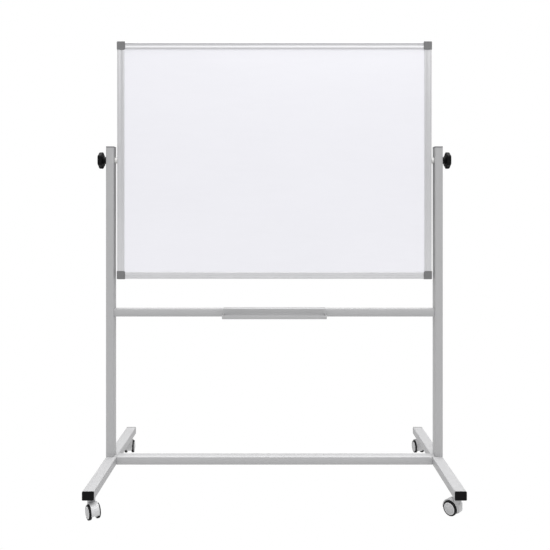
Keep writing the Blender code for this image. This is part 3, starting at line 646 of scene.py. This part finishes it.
class AddWheels(Operator):
    """Adds the tyre, the hub and the hub cap of the eight wheels"""

    bl_idname = "whiteboard.add_wheels"
    bl_label = "Wheels"

    def execute(self, context):
        sizes = context.scene.whiteboard_wheel
        for corner in CORNERS:
            for number, outwards in ((1, 1), (2, -1)):
                wheel = f"{corner}_wheel_{number}"
                node = f"{corner}_caster_wheel_{number}"
                start, axis = joint_line(f"{wheel}_spin")
                axis = axis * outwards
                _, high, radius = reach(node, start, axis)
                _, axle_end, axle_radius = reach(f"{corner}_caster_axle", start, axis)
                ring = tyre(sizes, radius)
                middle = hub(sizes, radius, axle_radius, axle_end)
                disc = hub_cap(sizes, radius, high)
                shapes = (
                    ("tyre", ring, "tyre_rubber", "wheel_rubber", [node]),
                    ("hub", middle, "moulded_hub", "caster_plastic", []),
                    ("hub_cap", disc, "moulded_hub_cap", "caster_plastic", []),
                )
                for part, bm, material, slot, replaced in shapes:
                    stand_along(bm, start, axis)
                    piece(context, f"{wheel}_{part}", bm, material, wheel, replaced)
        return {"FINISHED"}


class AddCollars(Operator):
    """Adds the nylon collars between the board and the posts"""

    bl_idname = "whiteboard.add_collars"
    bl_label = "Pivot Collars"

    def execute(self, context):
        sizes = context.scene.whiteboard_collar
        middle, _ = joint_line("board_flip")
        for side in SIDES:
            _, axis = joint_line(f"{side}_knob_turn")
            node = f"{side}_pivot_bush"
            low, high, radius = reach(node, middle, axis)
            _, _, stud_radius = reach(f"{side}_pivot_stud", middle, axis)
            post_start, _, _ = reach(f"{side}_post", middle, axis)
            bore, step = stud_radius + sizes.play, post_start - sizes.play
            outline = [(bore, low), (radius, low), (radius, step)]
            outline += [(sizes.sleeve, step), (sizes.sleeve, high), (bore, high)]
            bm = round_edges(turned(outline, COLLAR_STEPS), sizes.edge, inside=bore + sizes.play)
            stand_along(bm, middle, axis)
            name = f"{side}_pivot_collar"
            piece(context, name, bm, "moulded_nylon", "stand", [node])
        return {"FINISHED"}


def hex_bolt(sizes, high, radius):
    """A hexagon head on a washer below 0, and a round shank up to high."""
    washer, shank = sizes.washer, sizes.bolt / 2
    rims = (
        (HEXAGON, radius, -sizes.head, -washer),
        (WASHER_STEPS, radius, -washer, 0),
        (SHANK_STEPS, shank, -washer / 2, high),
    )
    bm = bmesh.new()
    for steps, rim, bottom, top in rims:
        size = {"radius1": rim, "radius2": rim, "depth": top - bottom}
        place = Matrix.Translation((0, 0, (bottom + top) / 2))
        bmesh.ops.create_cone(bm, cap_ends=True, segments=steps, matrix=place, **size)
    return round_edges(bm, washer / 4, FINE_ROUNDING, turn=SHARP_EDGE)


class AddBolts(Operator):
    """Adds the hexagon bolts of the stand"""

    bl_idname = "whiteboard.add_bolts"
    bl_label = "Stand Bolts"

    def execute(self, context):
        sizes = context.scene.whiteboard_fastener
        for side in SIDES:
            _, outwards = joint_line(f"{side}_knob_turn")
            for node, axis in (
                (f"{side}_post_bolt", Vector((0, 0, 1))),
                (f"upper_crossbar_{side}_bolt", -outwards),
                (f"lower_crossbar_{side}_bolt", -outwards),
            ):
                low_corner, high_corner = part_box(node)
                middle = (low_corner + high_corner) / 2
                low, high, radius = reach(node, middle, axis)
                under_head = low + sizes.head
                bm = hex_bolt(sizes, high - under_head, radius)
                stand_along(bm, middle + axis * under_head, axis)
                piece(context, f"{node}_hexagon", bm, "zinc_plate", "stand", [node])
        return {"FINISHED"}


def pan_screw(sizes, high, radius):
    """A domed screw head below 0 with a round socket in it, and a shank up to high."""
    head, socket, shank = sizes.screw_head, radius * sizes.socket, sizes.screw / 2
    floor = sizes.recess - head
    outline = [(0, floor), (socket, floor), (socket, -head)]
    for step in range(1, DOME_STEPS + 1):
        angle = math.pi / 2 * step / DOME_STEPS
        outline.append((socket + (radius - socket) * math.sin(angle), -head * math.cos(angle)))
    outline += [(shank, 0), (shank, high), (0, high)]
    return turned(outline, SHANK_STEPS, ring=False)


def folded_tray(sizes, low, high, bar_low, bar_high):
    """A sheet folded over the bar and out into a trough, with a wall at each end."""
    sheet, bend = sizes.sheet, sizes.bend
    rear, front, top = bar_high.y + sizes.play, bar_low.y - sizes.play, bar_high.z + sizes.play
    folds = [(rear, top + sheet - sizes.rear_lip), (rear, top), (front, top), (front, low.z)]
    folds += [(low.y, low.z), (low.y, low.z + sizes.front_lip)]
    bm = bmesh.new()
    verts = [bm.verts.new((low.x, y, z)) for y, z in folds]
    path = [bm.edges.new(pair) for pair in zip(verts, verts[1:])]
    grown = bmesh.ops.extrude_edge_only(bm, edges=path)["geom"]
    moved = [item for item in grown if isinstance(item, bmesh.types.BMVert)]
    bmesh.ops.translate(bm, verts=moved, vec=(high.x - low.x, 0, 0))
    creases = [edge for edge in bm.edges if len(edge.link_faces) == 2]
    bmesh.ops.bevel(bm, geom=creases, offset=bend, segments=FOLD_SEGMENTS, **ROUND)
    bmesh.ops.recalc_face_normals(bm, faces=bm.faces[:])
    above = max(bm.faces, key=lambda face: face.calc_center_median().z)
    outwards = 1 if above.normal.z > 0 else -1
    bmesh.ops.solidify(bm, geom=bm.faces[:], thickness=-outwards * sheet)
    bmesh.ops.recalc_face_normals(bm, faces=bm.faces[:])
    for x, inwards in ((low.x, 1), (high.x, -1)):
        size = Vector((sheet, front - low.y - sheet, sizes.front_lip - sheet))
        middle = Vector((x + inwards * sheet, (front + low.y) / 2, low.z + sizes.front_lip / 2))
        place = Matrix.Translation(middle) @ Matrix.Diagonal((*size, 1))
        bmesh.ops.create_cube(bm, size=1, matrix=place)
    return round_edges(bm, sheet / 5, FINE_ROUNDING, turn=FOLDED_EDGE)


class AddTray(Operator):
    """Adds the folded pen tray"""

    bl_idname = "whiteboard.add_tray"
    bl_label = "Pen Tray"

    def execute(self, context):
        sizes = context.scene.whiteboard_tray
        bm = folded_tray(sizes, *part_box("pen_tray"), *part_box("upper_crossbar"))
        piece(context, "folded_pen_tray", bm, "powder_coat", "stand", ["pen_tray"])
        return {"FINISHED"}


class AddTrayScrews(Operator):
    """Adds the two screws that hold the tray"""

    bl_idname = "whiteboard.add_tray_screws"
    bl_label = "Tray Screws"

    def execute(self, context):
        sizes = context.scene.whiteboard_fastener
        axis = Vector((0, -1, 0))
        for side in SIDES:
            node = f"tray_screw_{side}"
            low_corner, high_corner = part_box(node)
            middle = (low_corner + high_corner) / 2
            low, high, radius = reach(node, middle, axis)
            under_head = low + sizes.screw_head
            bm = pan_screw(sizes, high - under_head, radius)
            stand_along(bm, middle + axis * under_head, axis)
            name = f"tray_pan_screw_{side}"
            piece(context, name, bm, "zinc_plate", "stand", [node])
        return {"FINISHED"}


# Frame pieces, by group


class DressBoard(Operator):
    """Gives the board's panels, frame and corner caps their finishes"""

    bl_idname = "whiteboard.dress_board"
    bl_label = "Board"

    def execute(self, context):
        edges = context.scene.whiteboard_edges
        for end in ENDS:
            dress(context, f"{end}_writing_panel", "fired_enamel", edges.sheet)
        dress(context, "board_core", "paper_honeycomb", edges.sheet)
        for up in ("top", "bottom"):
            dress(context, f"{up}_frame_rail", "anodised_rail", edges.metal)
            for side in SIDES:
                dress(context, f"{up}_{side}_corner_cap", "moulded_corner", edges.plastic)
        for side in SIDES:
            dress(context, f"{side}_frame_stile", "anodised_stile", edges.metal)
            dress(context, f"{side}_pivot_block", "zinc_plate", edges.metal)
            dress(context, f"{side}_pivot_stud", "zinc_plate", edges.metal)
        return {"FINISHED"}


class DressStand(Operator):
    """Gives the tubes and their plastic ends their finishes"""

    bl_idname = "whiteboard.dress_stand"
    bl_label = "Stand"

    def execute(self, context):
        edges = context.scene.whiteboard_edges
        painted = ["upper_crossbar", "lower_crossbar"]
        painted += [f"{side}_{part}" for side in SIDES for part in ("post", "foot")]
        for node in painted:
            dress(context, node, "powder_coat", edges.metal)
        for side in SIDES:
            dress(context, f"{side}_post_top_cap", "moulded_post_cap", edges.plastic)
        for corner in CORNERS:
            dress(context, f"{corner}_foot_cap", "moulded_black", edges.plastic)
        return {"FINISHED"}


class DressCasters(Operator):
    """Gives the caster housings, stems and axles their finishes"""

    bl_idname = "whiteboard.dress_casters"
    bl_label = "Caster Housings"

    def execute(self, context):
        edges = context.scene.whiteboard_edges
        for corner in CORNERS:
            dress(context, f"{corner}_caster_housing", "moulded_hood", edges.housing)
            dress(context, f"{corner}_caster_stem", "zinc_plate", edges.metal)
            dress(context, f"{corner}_caster_axle", "zinc_plate", edges.metal)
        return {"FINISHED"}


# Stage


def light_dome(scene, settings):
    """A plain dome that gets stronger towards its top, and that the camera sees as white."""
    world = bpy.data.worlds.new("studio_dome")
    world.use_nodes = True
    scene.world = world
    tree = world.node_tree
    link = tree.links.new
    back = tree.nodes["Background"]
    back.inputs["Color"].default_value = WHITE
    way = tree.nodes.new("ShaderNodeTexCoord")
    split = tree.nodes.new("ShaderNodeSeparateXYZ")
    climb = tree.nodes.new("ShaderNodeMapRange")
    climb.inputs["To Min"].default_value = settings.horizon
    climb.inputs["To Max"].default_value = settings.zenith
    seen = tree.nodes.new("ShaderNodeLightPath")
    choice = tree.nodes.new("ShaderNodeMix")
    choice.inputs["B"].default_value = 1.0
    link(way.outputs["Generated"], split.inputs["Vector"])
    link(split.outputs["Z"], climb.inputs["Value"])
    link(climb.outputs["Result"], choice.inputs["A"])
    link(seen.outputs["Is Camera Ray"], choice.inputs["Factor"])
    link(choice.outputs["Result"], back.inputs["Strength"])


class SetStage(Operator):
    """Adds the floor, the light and the camera"""

    bl_idname = "whiteboard.set_stage"
    bl_label = "Stage"

    def execute(self, context):
        scene, settings = context.scene, context.scene.whiteboard_stage
        bm = bmesh.new()
        squares = {"x_segments": FLOOR_SQUARES, "y_segments": FLOOR_SQUARES}
        bmesh.ops.create_grid(bm, size=settings.floor_reach, **squares)
        mesh = bpy.data.meshes.new("studio_floor")
        bm.to_mesh(mesh)
        bm.free()
        glow = {"Base_Color": BLACK, "Specular_IOR_Level": 0, "Emission_Color": WHITE}
        recipe = Recipe("glowing_floor", 1.0, **glow, Emission_Strength=settings.floor)
        mesh.materials.append(recipe.material)
        floor = bpy.data.objects.new("studio_floor", mesh)
        scene.collection.objects.link(floor)
        light_dome(scene, settings)

        middle = (Vector(cad_box[0]) + Vector(cad_box[1])) / 2
        box = bpy.data.lights.new("soft_box", "AREA")
        box.shape = "DISK"
        box.size = settings.key_size
        box.energy = settings.key
        key = bpy.data.objects.new("soft_box", box)
        key.location = settings.key_place
        key.rotation_euler = (key.location - middle).to_track_quat("Z", "Y").to_euler()
        scene.collection.objects.link(key)
        above = bpy.data.lights.new("overhead", "SUN")
        above.energy = settings.overhead
        above.angle = settings.overhead_spread
        scene.collection.objects.link(bpy.data.objects.new("overhead", above))

        lens = bpy.data.cameras.new("camera")
        lens.lens = settings.lens
        lens.shift_x, lens.shift_y = settings.shift_x, settings.shift_y
        camera = bpy.data.objects.new("camera", lens)
        camera.location = (0, -settings.eye_distance, settings.eye_height)
        camera.rotation_euler = (math.pi / 2, 0, 0)
        scene.collection.objects.link(camera)
        scene.camera = camera
        scene.view_settings.view_transform = "Standard"
        return {"FINISHED"}


# Add-on


OPERATORS = (
    DressBoard,
    DressStand,
    DressCasters,
    AddCollars,
    AddKnobs,
    AddWheels,
    AddBolts,
    AddTray,
    AddTrayScrews,
    SetStage,
)


class WhiteboardPanel(Panel):
    """Lists the steps and the settings of the whiteboard"""

    bl_idname = "VIEW3D_PT_whiteboard"
    bl_label = "Rolling Whiteboard"
    bl_space_type = "VIEW_3D"
    bl_region_type = "UI"
    bl_category = "Whiteboard"

    def draw(self, context):
        for name, settings in SETTINGS.items():
            box = self.layout.box()
            for field in settings.__annotations__:
                box.prop(getattr(context.scene, name), field)
        for operator in OPERATORS:
            self.layout.operator(operator.bl_idname)


CLASSES = (*SETTINGS.values(), *OPERATORS, WhiteboardPanel)


def register():
    """Adds the classes, and one group of settings each to the scene."""
    for cls in CLASSES:
        bpy.utils.register_class(cls)
    for name, settings in SETTINGS.items():
        setattr(bpy.types.Scene, name, PointerProperty(type=settings))


def unregister():
    """Takes the settings and the classes away again."""
    for name in SETTINGS:
        delattr(bpy.types.Scene, name)
    for cls in reversed(CLASSES):
        bpy.utils.unregister_class(cls)


def main():
    """Makes the whiteboard and its stage, step by step."""
    register()
    for operator in OPERATORS:
        group, name = operator.bl_idname.split(".")
        getattr(getattr(bpy.ops, group), name)()


if __name__ == "__main__":
    main()
